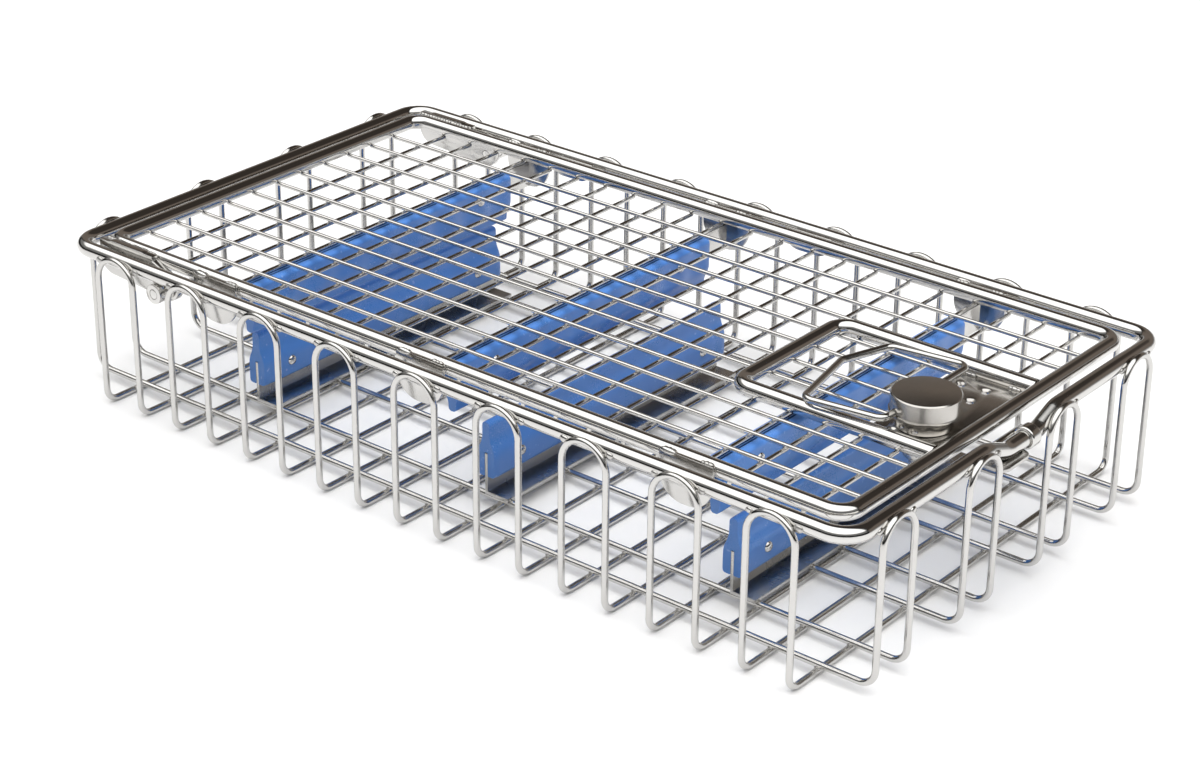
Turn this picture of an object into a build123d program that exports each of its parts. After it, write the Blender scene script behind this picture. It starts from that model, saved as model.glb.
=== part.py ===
from build123d import *
import math
import os

# Endoscope sterilization basket, in millimetres.
# Origin: centre of the wire floor, on the surface that the basket stands on.
# +X runs along the basket to the latch end, +Y to the far long side, +Z up.

# Basket wires
WIRE_D = 3.2
CROSS_RINGS = 9
END_GAP_X = 28.9
SIDE_LEG_Y = 132.4
ARCH_TOP_Z = 84.0
FLOOR_BEND_R = 6.4
LENGTH_RINGS = 4
SIDE_GAP_Y = 21.4
LENGTH_RING_WIDTH = 24.0
END_LEG_X = 241.4
END_BEND_R = 8.0
ARCH_FLAT = 0.2

# Rim
RIM_D = 8.0
RIM_CORNER_R = 12.5
DIP_Y = 5.0
DIP_HALF_MOUTH = 29.0
DIP_HALF_FLOOR = 13.0
DIP_DEPTH = 6.0
DIP_BEND_R = 18.0
COLLAR_D = 11.0
COLLAR_LENGTH = 7.0
COLLAR_Y = 11.0
LINK_D = 4.0
LINK_LENGTH = 24.0

# Keeper plate under the dip
KEEPER_T = 1.8
KEEPER_WIDTH = 24.0
KEEPER_SHIFT_Y = -11.0
KEEPER_INSET = 5.0
KEEPER_REACH = 6.4
KEEPER_CORNER_R = 5.0

# Lid frame and mesh
LID_D = 7.8
LID_GAP_X = 4.9
LID_GAP_Y = 6.3
LID_CORNER_R = 9.0
LID_RISE = 1.0
MESH_D = 2.2
MESH_END_GAP_X = 20.875
MESH_CROSS_COUNT = 22
MESH_SIDE_GAP_Y = 22.6
MESH_LENGTH_COUNT = 11

# Guard loop round the latch
GUARD_D = 8.0
GUARD_WIRES = 2
GUARD_PAST_WIRE = 6.0
GUARD_LENGTH = 109.0
GUARD_CORNER_R = 9.0

# Latch plate
PLATE_T = 2.0
PLATE_LENGTH = 41.0
PLATE_HOLE_D = 3.6
PLATE_SINK_D = 5.6
PLATE_SINK_DEPTH = 1.0
PLATE_HOLES = ((-9.5, 44.5), (3.0, 45.5), (3.0, 32.5), (-8.5, -14.0), (2.5, -16.3))

# Knob, spindle and tongue
KNOB_FROM_END = 23.0
KNOB_Y = -17.5
KNOB_D = 32.0
KNOB_FOOT_D = 26.0
KNOB_RING_D = 33.0
KNOB_RING_H = 1.4
KNOB_FOOT_H = 6.4
KNOB_CAP_H = 9.6
KNOB_EDGE = 1.2
KNOB_FLOAT = 0.2
SPINDLE_D = 8.0
RUNNING_FIT = 0.05
TONGUE_T = 3.0
TONGUE_GAP = 0.7
TONGUE_PAST_RIM = 2.2
TONGUE_WIDTH = 16.0
TONGUE_HUB_D = 18.0
NUT_ACROSS_FLATS = 12.0
NUT_H = 3.0

# Bail of the knob
BAIL_D = 3.5
BAIL_Z_ABOVE_PLATE = 9.0
BAIL_AXIS_OFFSET_X = -7.0
BAIL_NEAR_REACH = 23.0
BAIL_FAR_REACH = 41.5
BAIL_LENGTH = 55.0
BAIL_TAPER_X = 9.0
BAIL_SWAY_Y = 5.5
BAIL_BEND_R = 5.0
BAIL_SEAT = 4.0

# Hinge
HINGE_FROM_END = 48.0
BUSH_D = 10.0
HINGE_PIN_D = 5.0
BUSH_GAP = 0.5
BUSH_END_GAP = 0.3
CHEEK_T = 4.0
CHEEK_OVERHANG = 1.0
CHEEK_LENGTH = 38.0
CHEEK_LOBE_R = 9.0
CHEEK_DEPTH = 5.0
CHEEK_TOP_GAP = 0.4
CHEEK_EAR_R = 6.6

# Bracket sheets and silicone bars
SHEET_T = 1.6
LOWER_BAR_X = (-147.0, 6.0, 150.5)
UPPER_BAR_NEAR_X = (-144.0, -10.0, 144.0)
LOWER_BAR_END_GAP = 42.4
UPPER_BAR_END_GAP = 16.6
BAR_SLAB_T = 5.0
BAR_FORK_T = 11.6
LOWER_FORK_DEPTH = 13.0
UPPER_FORK_DEPTH = 16.0
FLARE_H = 6.0
LOWER_SLOT_DEPTH = 12.5
UPPER_SLOT_DEPTH = 13.5
LOWER_BAR_BOTTOM_Z = 16.0
LOWER_BAR_TOP_Z = 44.5
BAR_PINCH_GAP = 3.0
UPPER_BAR_WIRE_GAP = 1.0
FOOT_WIDTH = 14.0
BAR_EDGE_R = 2.0
BAR_FLARE_R = 5.0
BAR_TIP_R = 2.2
SLOT_SEAT = 0.5
RIVET_D = 3.0
RIVET_HEAD_D = 5.4
RIVET_HEAD_H = 1.5
RIVET_FROM_END = 19.0
LOWER_RIVET_UP = 8.5
UPPER_RIVET_DOWN = 7.0

# Side tabs of the upper brackets and the stay lugs on the far side
TAB_WIDTH = 29.0
TAB_DEPTH = 17.0
TAB_TOP_GAP = 1.0
TAB_T = 1.5
LUG_X = (-114.0, 42.0)
LUG_DEPTH = 11.0

# Levels and places that follow from the sizes above
WIRE_R = WIRE_D / 2
FLOOR_Z = WIRE_R
LENGTH_FLOOR_Z = FLOOR_Z + WIRE_D
FLOOR_TOP_Z = LENGTH_FLOOR_Z + WIRE_R
ARCH_Z = ARCH_TOP_Z - WIRE_R
LEG_PITCH_X = 2 * (END_LEG_X - END_GAP_X) / (2 * CROSS_RINGS - 1)
LENGTH_RING_PITCH = (2 * (SIDE_LEG_Y - SIDE_GAP_Y) - LENGTH_RING_WIDTH) / (LENGTH_RINGS - 1)
RIM_R = RIM_D / 2
RIM_Z = ARCH_TOP_Z - RIM_R
RIM_HALF_X = END_LEG_X - WIRE_R - RIM_R
RIM_HALF_Y = SIDE_LEG_Y - WIRE_R - RIM_R
DIP_Z = RIM_Z - DIP_DEPTH
LID_R = LID_D / 2
LID_HALF_X = RIM_HALF_X - RIM_R - LID_GAP_X - LID_R
LID_HALF_Y = RIM_HALF_Y - RIM_R - LID_GAP_Y - LID_R
LENGTH_MESH_HALF = LID_HALF_Y - MESH_SIDE_GAP_Y
MESH_PITCH_Y = 2 * LENGTH_MESH_HALF / (MESH_LENGTH_COUNT - 1)
GUARD_HALF_Y = GUARD_WIRES * MESH_PITCH_Y + GUARD_PAST_WIRE
GUARD_END_X = LID_HALF_X - GUARD_LENGTH
PLATE_LEFT_X = LID_HALF_X - PLATE_LENGTH
KNOB_X = LID_HALF_X - KNOB_FROM_END
TONGUE_LENGTH = RIM_HALF_X + TONGUE_PAST_RIM - KNOB_X
HINGE_X = HINGE_FROM_END - LID_HALF_X
CHEEK_LEFT_X = -LID_HALF_X - CHEEK_OVERHANG
CHEEK_RIGHT_X = CHEEK_LEFT_X + CHEEK_LENGTH
LID_Z = RIM_Z + LID_RISE
LID_UNDER_Z = LID_Z - LID_R
MESH_R = MESH_D / 2
CROSS_MESH_Z = LID_UNDER_Z - MESH_R
LENGTH_MESH_Z = CROSS_MESH_Z + MESH_D
MESH_UNDER_Z = CROSS_MESH_Z - MESH_R
GUARD_Z = LID_UNDER_Z + GUARD_D / 2
PLATE_BOTTOM_Z = LID_UNDER_Z
PLATE_TOP_Z = PLATE_BOTTOM_Z + PLATE_T
KNOB_BOTTOM_Z = PLATE_TOP_Z + KNOB_FLOAT
KNOB_SPLIT_Z = KNOB_BOTTOM_Z + KNOB_FOOT_H
KNOB_TOP_Z = KNOB_SPLIT_Z + KNOB_CAP_H
KEEPER_TOP_Z = DIP_Z - RIM_R
TONGUE_TOP_Z = KEEPER_TOP_Z - KEEPER_T - TONGUE_GAP
TONGUE_BOTTOM_Z = TONGUE_TOP_Z - TONGUE_T
SPINDLE_END_Z = TONGUE_BOTTOM_Z - NUT_H
BAIL_Z = PLATE_TOP_Z + BAIL_Z_ABOVE_PLATE
BAIL_AXIS_X = KNOB_X + BAIL_AXIS_OFFSET_X
BAIL_NEAR_Y = KNOB_Y - BAIL_NEAR_REACH
BAIL_FAR_Y = KNOB_Y + BAIL_FAR_REACH
BAIL_BACK_X = KNOB_X - BAIL_LENGTH
HINGE_Z = RIM_Z - RIM_R - BUSH_D / 2
CHEEK_IN_Y = LID_HALF_Y + LID_R
CHEEK_OUT_Y = CHEEK_IN_Y + CHEEK_T
BUSH_IN_Y = CHEEK_OUT_Y + BUSH_GAP
BUSH_OUT_Y = SIDE_LEG_Y - WIRE_R - BUSH_END_GAP
LOWER_BAR_HALF_Y = SIDE_LEG_Y - LOWER_BAR_END_GAP
UPPER_BAR_HALF_Y = LID_HALF_Y - UPPER_BAR_END_GAP
UPPER_BAR_BOTTOM_Z = LOWER_BAR_TOP_Z + BAR_PINCH_GAP
RIVET_Y = LOWER_BAR_HALF_Y - RIVET_FROM_END

CROSS_MESH_HALF = LID_HALF_X - MESH_END_GAP_X
CROSS_MESH_X = [(2 * i / (MESH_CROSS_COUNT - 1) - 1) * CROSS_MESH_HALF for i in range(MESH_CROSS_COUNT)]
LENGTH_MESH_Y = [i * MESH_PITCH_Y - LENGTH_MESH_HALF for i in range(MESH_LENGTH_COUNT)]
UPPER_BAR_X = [min(CROSS_MESH_X, key=lambda wire: abs(wire - near)) for near in UPPER_BAR_NEAR_X]


def rod(points, radii, diameter, close=False):
    """A round wire bent along points with a bend radius at each corner."""
    path = FilletPolyline(*points, radius=radii, close=close)
    section = Plane(origin=path @ 0, z_dir=path % 0) * Circle(diameter / 2)
    return sweep(section, path=path)


def bar_between(start, end, diameter):
    """A straight round bar from one point to another."""
    a = Vector(*start)
    b = Vector(*end)
    place = Plane(origin=a, z_dir=b - a)
    return place * Cylinder(diameter / 2, (b - a).length, align=(Align.CENTER, Align.CENTER, Align.MIN))


def upright(x, y, low_z, high_z, diameter):
    """A cylinder along Z between two levels."""
    return bar_between((x, y, low_z), (x, y, high_z), diameter)


def sheet_xz(face, low_y, high_y):
    """Extrude a face drawn in X and Z from low_y to high_y."""
    plane = Plane(origin=(0, high_y, 0), x_dir=(1, 0, 0), z_dir=(0, -1, 0))
    return extrude(plane * face, amount=high_y - low_y)


def box_between(low, high):
    """A box given by two opposite corners."""
    size = [high[i] - low[i] for i in range(3)]
    middle = [(high[i] + low[i]) / 2 for i in range(3)]
    return Pos(*middle) * Box(*size)


def group(shapes):
    """Several solids kept apart in one node."""
    return Compound(children=[solid for shape in shapes for solid in shape.solids()])


def cross_ring(index):
    """One closed wire across the basket: two hairpins butt-welded in the middle of the floor."""
    left = END_GAP_X - END_LEG_X + 2 * index * LEG_PITCH_X
    right = left + LEG_PITCH_X
    arch_r = (LEG_PITCH_X - ARCH_FLAT) / 2
    hairpins = []
    for y in (-SIDE_LEG_Y, SIDE_LEG_Y):
        points = [
            (left, 0, FLOOR_Z),
            (left, y, FLOOR_Z),
            (left, y, ARCH_Z),
            (right, y, ARCH_Z),
            (right, y, FLOOR_Z),
            (right, 0, FLOOR_Z),
        ]
        hairpins.append(rod(points, [FLOOR_BEND_R, arch_r, arch_r, FLOOR_BEND_R], WIRE_D))
    return group(hairpins)


def length_ring(index):
    """One closed wire along the basket, with an arch at each end."""
    middle = (index - (LENGTH_RINGS - 1) / 2) * LENGTH_RING_PITCH
    near = middle - LENGTH_RING_WIDTH / 2
    far = middle + LENGTH_RING_WIDTH / 2
    arch_r = (LENGTH_RING_WIDTH - ARCH_FLAT) / 2
    x = END_LEG_X
    points = [
        (-x, near, LENGTH_FLOOR_Z),
        (-x, near, ARCH_Z),
        (-x, far, ARCH_Z),
        (-x, far, LENGTH_FLOOR_Z),
        (x, far, LENGTH_FLOOR_Z),
        (x, far, ARCH_Z),
        (x, near, ARCH_Z),
        (x, near, LENGTH_FLOOR_Z),
    ]
    radii = [END_BEND_R, arch_r, arch_r, END_BEND_R] * 2
    return rod(points, radii, WIRE_D, close=True)


def rim_loop():
    """The rim: a rounded rectangle with a shallow dip in the latch end."""
    x = RIM_HALF_X
    y = RIM_HALF_Y
    points = [
        (-x, -y, RIM_Z),
        (x, -y, RIM_Z),
        (x, DIP_Y - DIP_HALF_MOUTH, RIM_Z),
        (x, DIP_Y - DIP_HALF_FLOOR, DIP_Z),
        (x, DIP_Y + DIP_HALF_FLOOR, DIP_Z),
        (x, DIP_Y + DIP_HALF_MOUTH, RIM_Z),
        (x, y, RIM_Z),
        (-x, y, RIM_Z),
    ]
    radii = [RIM_CORNER_R] * 2 + [DIP_BEND_R] * 4 + [RIM_CORNER_R] * 2
    return rod(points, radii, RIM_D, close=True)


def lid_frame_loop():
    """The lid's frame: a rounded rectangle inside the rim."""
    x = LID_HALF_X
    y = LID_HALF_Y
    points = [(-x, -y, LID_Z), (x, -y, LID_Z), (x, y, LID_Z), (-x, y, LID_Z)]
    return rod(points, LID_CORNER_R, LID_D, close=True)


def guard_loop():
    """A U of round bar round the latch, butted on the lid frame's end bar."""
    y = GUARD_HALF_Y
    points = [
        (LID_HALF_X, -y, GUARD_Z),
        (GUARD_END_X, -y, GUARD_Z),
        (GUARD_END_X, y, GUARD_Z),
        (LID_HALF_X, y, GUARD_Z),
    ]
    return rod(points, [GUARD_CORNER_R] * 2, GUARD_D)


def bar_profile(low_z, high_z, fork_depth, slot_depth, fork_down):
    """Section of a silicone bar: a rounded slab that flares into a fork."""
    height = high_z - low_z
    slab = BAR_SLAB_T / 2
    fork = BAR_FORK_T / 2
    slot = SHEET_T / 2
    half = [(slab, height), (slab, fork_depth + FLARE_H), (fork, fork_depth), (fork, 0), (slot, 0), (slot, slot_depth)]
    outline = half + [(-x, z) for x, z in reversed(half)]
    face = make_face(Polyline(*outline, close=True))
    tips = [v for v in face.vertices() if abs(abs(v.X) - fork) < 0.01 and v.Y < 0.01]
    flares = [v for v in face.vertices() if abs(v.Y - fork_depth) < 0.01 or abs(v.Y - fork_depth - FLARE_H) < 0.01]
    edges = [v for v in face.vertices() if abs(v.Y - height) < 0.01]
    face = fillet(edges, BAR_EDGE_R)
    face = fillet([v for v in face.vertices() if any((v.center() - t.center()).length < 0.01 for t in tips)], BAR_TIP_R)
    face = fillet([v for v in face.vertices() if any((v.center() - t.center()).length < 0.01 for t in flares)], BAR_FLARE_R)
    if fork_down:
        return Pos(0, low_z) * face
    return Pos(0, high_z) * mirror(face, about=Plane.XZ)


def rivet(x, y, z):
    """A double pan-head rivet through a silicone bar and its sheet."""
    half = BAR_FORK_T / 2
    shank = bar_between((x - half, y, z), (x + half, y, z), RIVET_D)
    heads = []
    for side in (-1, 1):
        place = Plane(origin=(x + side * half, y, z), z_dir=(side, 0, 0))
        head = place * Cylinder(RIVET_HEAD_D / 2, RIVET_HEAD_H, align=(Align.CENTER, Align.CENTER, Align.MIN))
        rims = [e for e in head.edges() if abs(e.center().X - (x + side * (half + RIVET_HEAD_H))) < 0.01]
        heads.append(fillet(rims, RIVET_HEAD_H * 0.6))
    return shank + heads[0] + heads[1]


def rivet_places(bar_xs, z):
    """Rivet centres of a row of bars."""
    return [(x, side * RIVET_Y, z) for x in bar_xs for side in (-1, 1)]


def drill(shape, places):
    """Cut the rivet shanks out of a piece."""
    for x, y, z in places:
        shape = shape - bar_between((x - BAR_FORK_T, y, z), (x + BAR_FORK_T, y, z), RIVET_D)
    return shape


def tab_face(x, top_z, depth, width):
    """A tab with a half-round foot, drawn in X and Z."""
    corner = width * 0.45
    face = Pos(x, top_z - depth / 2) * Rectangle(width, depth)
    low = [v for v in face.vertices() if v.Y < top_z - depth + 0.01]
    return fillet(low, min(corner, depth * 0.8))


parts = {}

# Basket wires: closed rings, nine across made of hairpin pairs, and four along
for i in range(CROSS_RINGS):
    parts[f"cross_ring_{i + 1}"] = cross_ring(i)
for i in range(LENGTH_RINGS):
    parts[f"length_ring_{i + 1}"] = length_ring(i)

# Rim, with the collar and link rod in its dip
rim = rim_loop()
collar_centre = (RIM_HALF_X, COLLAR_Y, DIP_Z)
collar = bar_between(
    (RIM_HALF_X, COLLAR_Y - COLLAR_LENGTH / 2, DIP_Z),
    (RIM_HALF_X, COLLAR_Y + COLLAR_LENGTH / 2, DIP_Z),
    COLLAR_D,
)
collar = fillet(collar.edges().filter_by(GeomType.CIRCLE), 1.0)
parts["rim"] = rim
parts["rim_collar"] = collar - rim
link_x = RIM_HALF_X - RIM_R - LINK_D / 2
link = bar_between(
    (link_x, DIP_Y - LINK_LENGTH / 2, DIP_Z),
    (link_x, DIP_Y + LINK_LENGTH / 2, DIP_Z),
    LINK_D,
)
link = fillet(link.edges().filter_by(GeomType.CIRCLE), LINK_D * 0.3)
parts["rim_link_rod"] = link - collar - rim

# Keeper plate welded under the dip
keeper_y = DIP_Y + KEEPER_SHIFT_Y
keeper_left = RIM_HALF_X - KEEPER_INSET
keeper_right = RIM_HALF_X + KEEPER_REACH
keeper = box_between(
    (keeper_left, keeper_y - KEEPER_WIDTH / 2, KEEPER_TOP_Z - KEEPER_T),
    (keeper_right, keeper_y + KEEPER_WIDTH / 2, KEEPER_TOP_Z),
)
outer_corners = [e for e in keeper.edges().filter_by(Axis.Z) if e.center().X > keeper_right - 0.01]
parts["keeper_plate"] = fillet(outer_corners, KEEPER_CORNER_R)

# Hinge bushes welded under the rim
bushes = []
for side in (-1, 1):
    start = (HINGE_X, side * BUSH_IN_Y, HINGE_Z)
    end = (HINGE_X, side * BUSH_OUT_Y, HINGE_Z)
    bushes.append(bar_between(start, end, BUSH_D) - bar_between(start, end, HINGE_PIN_D + 2 * RUNNING_FIT))
parts["hinge_bush_near"] = bushes[0]
parts["hinge_bush_far"] = bushes[1]

# Lower brackets, silicone bars and rivets
lower_rivet_z = LOWER_BAR_BOTTOM_Z + LOWER_RIVET_UP
lower_places = rivet_places(LOWER_BAR_X, lower_rivet_z)
lower_sheet_top = LOWER_BAR_BOTTOM_Z + LOWER_SLOT_DEPTH - SLOT_SEAT
for i, x in enumerate(LOWER_BAR_X):
    web = box_between(
        (x - SHEET_T / 2, -LOWER_BAR_HALF_Y, FLOOR_TOP_Z),
        (x + SHEET_T / 2, LOWER_BAR_HALF_Y, lower_sheet_top),
    )
    foot = box_between(
        (x - SHEET_T / 2, -LOWER_BAR_HALF_Y, FLOOR_TOP_Z),
        (x - SHEET_T / 2 + FOOT_WIDTH, LOWER_BAR_HALF_Y, FLOOR_TOP_Z + SHEET_T),
    )
    parts[f"lower_bracket_{i + 1}"] = drill(web + foot, lower_places)
    profile = Pos(x, 0) * bar_profile(LOWER_BAR_BOTTOM_Z, LOWER_BAR_TOP_Z, LOWER_FORK_DEPTH, LOWER_SLOT_DEPTH, True)
    bar = sheet_xz(profile, -LOWER_BAR_HALF_Y, LOWER_BAR_HALF_Y)
    parts[f"lower_silicone_bar_{i + 1}"] = drill(bar, lower_places)
parts["lower_rivets"] = group([rivet(*place) for place in lower_places])

# Lid frame, guard loop and latch plate
lid_frame = lid_frame_loop()
guard = guard_loop() - lid_frame
parts["lid_frame"] = lid_frame
parts["guard_loop"] = guard
plate = box_between(
    (PLATE_LEFT_X, -GUARD_HALF_Y, PLATE_BOTTOM_Z),
    (LID_HALF_X, GUARD_HALF_Y, PLATE_TOP_Z),
)
plate = plate - guard_loop() - lid_frame
plate = plate - upright(KNOB_X, KNOB_Y, PLATE_BOTTOM_Z - PLATE_T, PLATE_TOP_Z + PLATE_T, SPINDLE_D + 2 * RUNNING_FIT)
for from_knob_x, from_knob_y in PLATE_HOLES:
    x = KNOB_X + from_knob_x
    y = KNOB_Y + from_knob_y
    plate = plate - upright(x, y, PLATE_BOTTOM_Z - PLATE_T, PLATE_TOP_Z + PLATE_T, PLATE_HOLE_D)
    sink = Pos(x, y, PLATE_TOP_Z - PLATE_SINK_DEPTH / 2) * Cone(PLATE_HOLE_D / 2, PLATE_SINK_D / 2, PLATE_SINK_DEPTH)
    plate = plate - sink
parts["latch_plate"] = max(plate.solids(), key=lambda s: s.volume)

# Lid mesh: cross wires under the frame, lengthwise wires on top of them
cross_wires = []
for x in CROSS_MESH_X:
    if x < PLATE_LEFT_X:
        spans = [(-LID_HALF_Y, LID_HALF_Y)]
    else:
        spans = [(-LID_HALF_Y, -GUARD_HALF_Y), (GUARD_HALF_Y, LID_HALF_Y)]
    for low, high in spans:
        cross_wires.append(bar_between((x, low, CROSS_MESH_Z), (x, high, CROSS_MESH_Z), MESH_D))
parts["lid_cross_wires"] = group(cross_wires)

length_wires = []
lid_inner_x = LID_HALF_X - LID_R
for y in LENGTH_MESH_Y:
    if abs(y) > GUARD_HALF_Y:
        spans = [(-LID_HALF_X, LID_HALF_X)]
    else:
        spans = [(-LID_HALF_X, GUARD_END_X), (GUARD_END_X, PLATE_LEFT_X)]
    for low, high in spans:
        wire = bar_between((low, y, LENGTH_MESH_Z), (high, y, LENGTH_MESH_Z), MESH_D)
        wire = wire - lid_frame - guard_loop()
        length_wires.append(max(wire.solids(), key=lambda s: s.volume))
parts["lid_length_wires"] = group(length_wires)

# Hinge cheeks and pins
for name, side in (("near", -1), ("far", 1)):
    lobes = [
        Pos(CHEEK_LEFT_X + CHEEK_LOBE_R, LID_Z - CHEEK_DEPTH) * Circle(CHEEK_LOBE_R),
        Pos(CHEEK_RIGHT_X - CHEEK_LOBE_R, LID_Z - CHEEK_DEPTH) * Circle(CHEEK_LOBE_R),
        Pos(HINGE_X, HINGE_Z) * Circle(CHEEK_EAR_R),
    ]
    outline = make_hull([edge for lobe in lobes for edge in lobe.edges()])
    top_z = LID_Z + LID_R - CHEEK_TOP_GAP
    head_low = LID_Z - CHEEK_DEPTH
    head = Pos((CHEEK_LEFT_X + CHEEK_RIGHT_X) / 2, (top_z + head_low) / 2) * Rectangle(
        CHEEK_RIGHT_X - CHEEK_LEFT_X, top_z - head_low
    )
    inner, outer = sorted((side * CHEEK_IN_Y, side * CHEEK_OUT_Y))
    cheek = sheet_xz(outline + head, inner, outer)
    pin = bar_between((HINGE_X, side * CHEEK_IN_Y, HINGE_Z), (HINGE_X, side * BUSH_OUT_Y, HINGE_Z), HINGE_PIN_D)
    parts[f"hinge_cheek_{name}"] = cheek - pin
    parts[f"hinge_pin_{name}"] = pin

# Upper brackets with their side tabs, silicone bars and rivets
upper_bar_top = MESH_UNDER_Z - UPPER_BAR_WIRE_GAP
upper_sheet_bottom = upper_bar_top - UPPER_SLOT_DEPTH + SLOT_SEAT
upper_places = rivet_places(UPPER_BAR_X, upper_bar_top - UPPER_RIVET_DOWN)
tab_top = LID_Z + LID_R - TAB_TOP_GAP
for i, x in enumerate(UPPER_BAR_X):
    web = box_between(
        (x - SHEET_T / 2, -CHEEK_IN_Y, upper_sheet_bottom),
        (x + SHEET_T / 2, CHEEK_IN_Y, MESH_UNDER_Z),
    )
    face = tab_face(x, tab_top, tab_top - upper_sheet_bottom, TAB_WIDTH)
    near_tab = sheet_xz(face, -CHEEK_IN_Y - TAB_T, -CHEEK_IN_Y)
    far_tab = sheet_xz(face, CHEEK_IN_Y, CHEEK_IN_Y + TAB_T)
    parts[f"upper_bracket_{i + 1}"] = drill(web + near_tab + far_tab, upper_places)
    profile = Pos(x, 0) * bar_profile(UPPER_BAR_BOTTOM_Z, upper_bar_top, UPPER_FORK_DEPTH, UPPER_SLOT_DEPTH, False)
    bar = sheet_xz(profile, -UPPER_BAR_HALF_Y, UPPER_BAR_HALF_Y)
    parts[f"upper_silicone_bar_{i + 1}"] = drill(bar, upper_places)
parts["upper_rivets"] = group([rivet(*place) for place in upper_places])

# Stay lugs on the far side of the lid frame
lugs = []
for x in LUG_X:
    face = tab_face(x, tab_top, LUG_DEPTH, TAB_WIDTH)
    lugs.append(sheet_xz(face, CHEEK_IN_Y, CHEEK_IN_Y + TAB_T))
parts["lid_stay_lugs"] = group(lugs)

# Knob foot and cap on their spindle
spindle = upright(KNOB_X, KNOB_Y, SPINDLE_END_Z, KNOB_SPLIT_Z, SPINDLE_D)
foot = upright(KNOB_X, KNOB_Y, KNOB_BOTTOM_Z, KNOB_SPLIT_Z, KNOB_FOOT_D) - spindle
cap = upright(KNOB_X, KNOB_Y, KNOB_SPLIT_Z, KNOB_TOP_Z, KNOB_D)
top_edge = [e for e in cap.edges().filter_by(GeomType.CIRCLE) if e.center().Z > KNOB_TOP_Z - 0.01]
cap = chamfer(top_edge, KNOB_EDGE / 2)
cap = cap + upright(KNOB_X, KNOB_Y, KNOB_SPLIT_Z, KNOB_SPLIT_Z + KNOB_RING_H, KNOB_RING_D)

# Bail: a bent wire whose ends turn in the knob cap
knob_reach = math.sqrt((KNOB_D / 2) ** 2 - BAIL_AXIS_OFFSET_X**2)
near_face = KNOB_Y - knob_reach
far_face = KNOB_Y + knob_reach
bail_points = [
    (BAIL_AXIS_X, near_face + BAIL_SEAT, BAIL_Z),
    (BAIL_AXIS_X, BAIL_NEAR_Y, BAIL_Z),
    (BAIL_BACK_X + BAIL_TAPER_X, BAIL_NEAR_Y - BAIL_SWAY_Y, BAIL_Z),
    (BAIL_BACK_X, (BAIL_NEAR_Y + BAIL_FAR_Y) / 2 + BAIL_SWAY_Y, BAIL_Z),
    (BAIL_BACK_X + BAIL_TAPER_X, BAIL_FAR_Y, BAIL_Z),
    (BAIL_AXIS_X, BAIL_FAR_Y + BAIL_SWAY_Y, BAIL_Z),
    (BAIL_AXIS_X, far_face - BAIL_SEAT, BAIL_Z),
]
parts["bail"] = rod(bail_points, [BAIL_BEND_R] * 5, BAIL_D)
bail_hole = BAIL_D + 2 * RUNNING_FIT
for face_y, inward in ((near_face, 1), (far_face, -1)):
    inner_end = face_y + inward * (BAIL_SEAT + BUSH_GAP)
    outer_end = face_y - inward * BAIL_D * 2
    cap = cap - bar_between((BAIL_AXIS_X, inner_end, BAIL_Z), (BAIL_AXIS_X, outer_end, BAIL_Z), bail_hole)
parts["knob_foot"] = foot
parts["knob_cap"] = cap
parts["knob_spindle"] = spindle

# Tongue, at rest turned under the plate, and the nut that holds it
hub = upright(KNOB_X, KNOB_Y, TONGUE_BOTTOM_Z, TONGUE_TOP_Z, TONGUE_HUB_D)
blade = box_between(
    (KNOB_X - TONGUE_WIDTH / 2, KNOB_Y, TONGUE_BOTTOM_Z),
    (KNOB_X + TONGUE_WIDTH / 2, KNOB_Y + TONGUE_LENGTH, TONGUE_TOP_Z),
)
tips = [e for e in blade.edges().filter_by(Axis.Z) if e.center().Y > KNOB_Y + TONGUE_LENGTH - 0.01]
blade = fillet(tips, TONGUE_WIDTH * 0.4)
parts["tongue"] = hub + blade - spindle
nut_face = RegularPolygon(NUT_ACROSS_FLATS / 2, 6, major_radius=False)
nut = Pos(KNOB_X, KNOB_Y, SPINDLE_END_Z) * extrude(nut_face, amount=NUT_H)
parts["tongue_nut"] = nut - spindle

os.makedirs("parts", exist_ok=True)
for name, shape in parts.items():
    export_step(shape, f"parts/{name}.step")
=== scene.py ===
# %% [markdown]
# Endoscope sterilization basket. A wire basket with a hinged mesh lid, a knob
# latch and blue silicone bars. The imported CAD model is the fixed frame, and
# every piece made here rides on one of its bodies.

# %% Load the frame
import math
import random
import bmesh
import bpy
from mathutils import Matrix, Vector


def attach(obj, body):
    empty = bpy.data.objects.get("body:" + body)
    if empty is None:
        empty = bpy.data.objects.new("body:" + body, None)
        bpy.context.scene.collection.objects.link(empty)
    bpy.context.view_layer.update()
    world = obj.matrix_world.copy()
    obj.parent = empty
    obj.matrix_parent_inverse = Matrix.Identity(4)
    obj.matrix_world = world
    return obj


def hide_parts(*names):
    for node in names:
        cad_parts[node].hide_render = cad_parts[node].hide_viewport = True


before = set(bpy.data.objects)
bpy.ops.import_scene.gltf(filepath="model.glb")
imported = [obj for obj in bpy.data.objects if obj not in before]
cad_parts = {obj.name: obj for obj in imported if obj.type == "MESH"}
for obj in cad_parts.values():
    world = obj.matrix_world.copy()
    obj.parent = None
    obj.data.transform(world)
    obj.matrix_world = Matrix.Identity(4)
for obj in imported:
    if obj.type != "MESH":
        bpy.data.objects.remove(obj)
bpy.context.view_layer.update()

MM = 0.001


# %% [markdown]
# Steel wire shows its finish through small things: a slow change of gloss, fine
# marks and a faint waviness. Those come from noise, so materials need a lot of
# small maths. A class that wraps a socket lets that maths read like Python.

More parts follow.
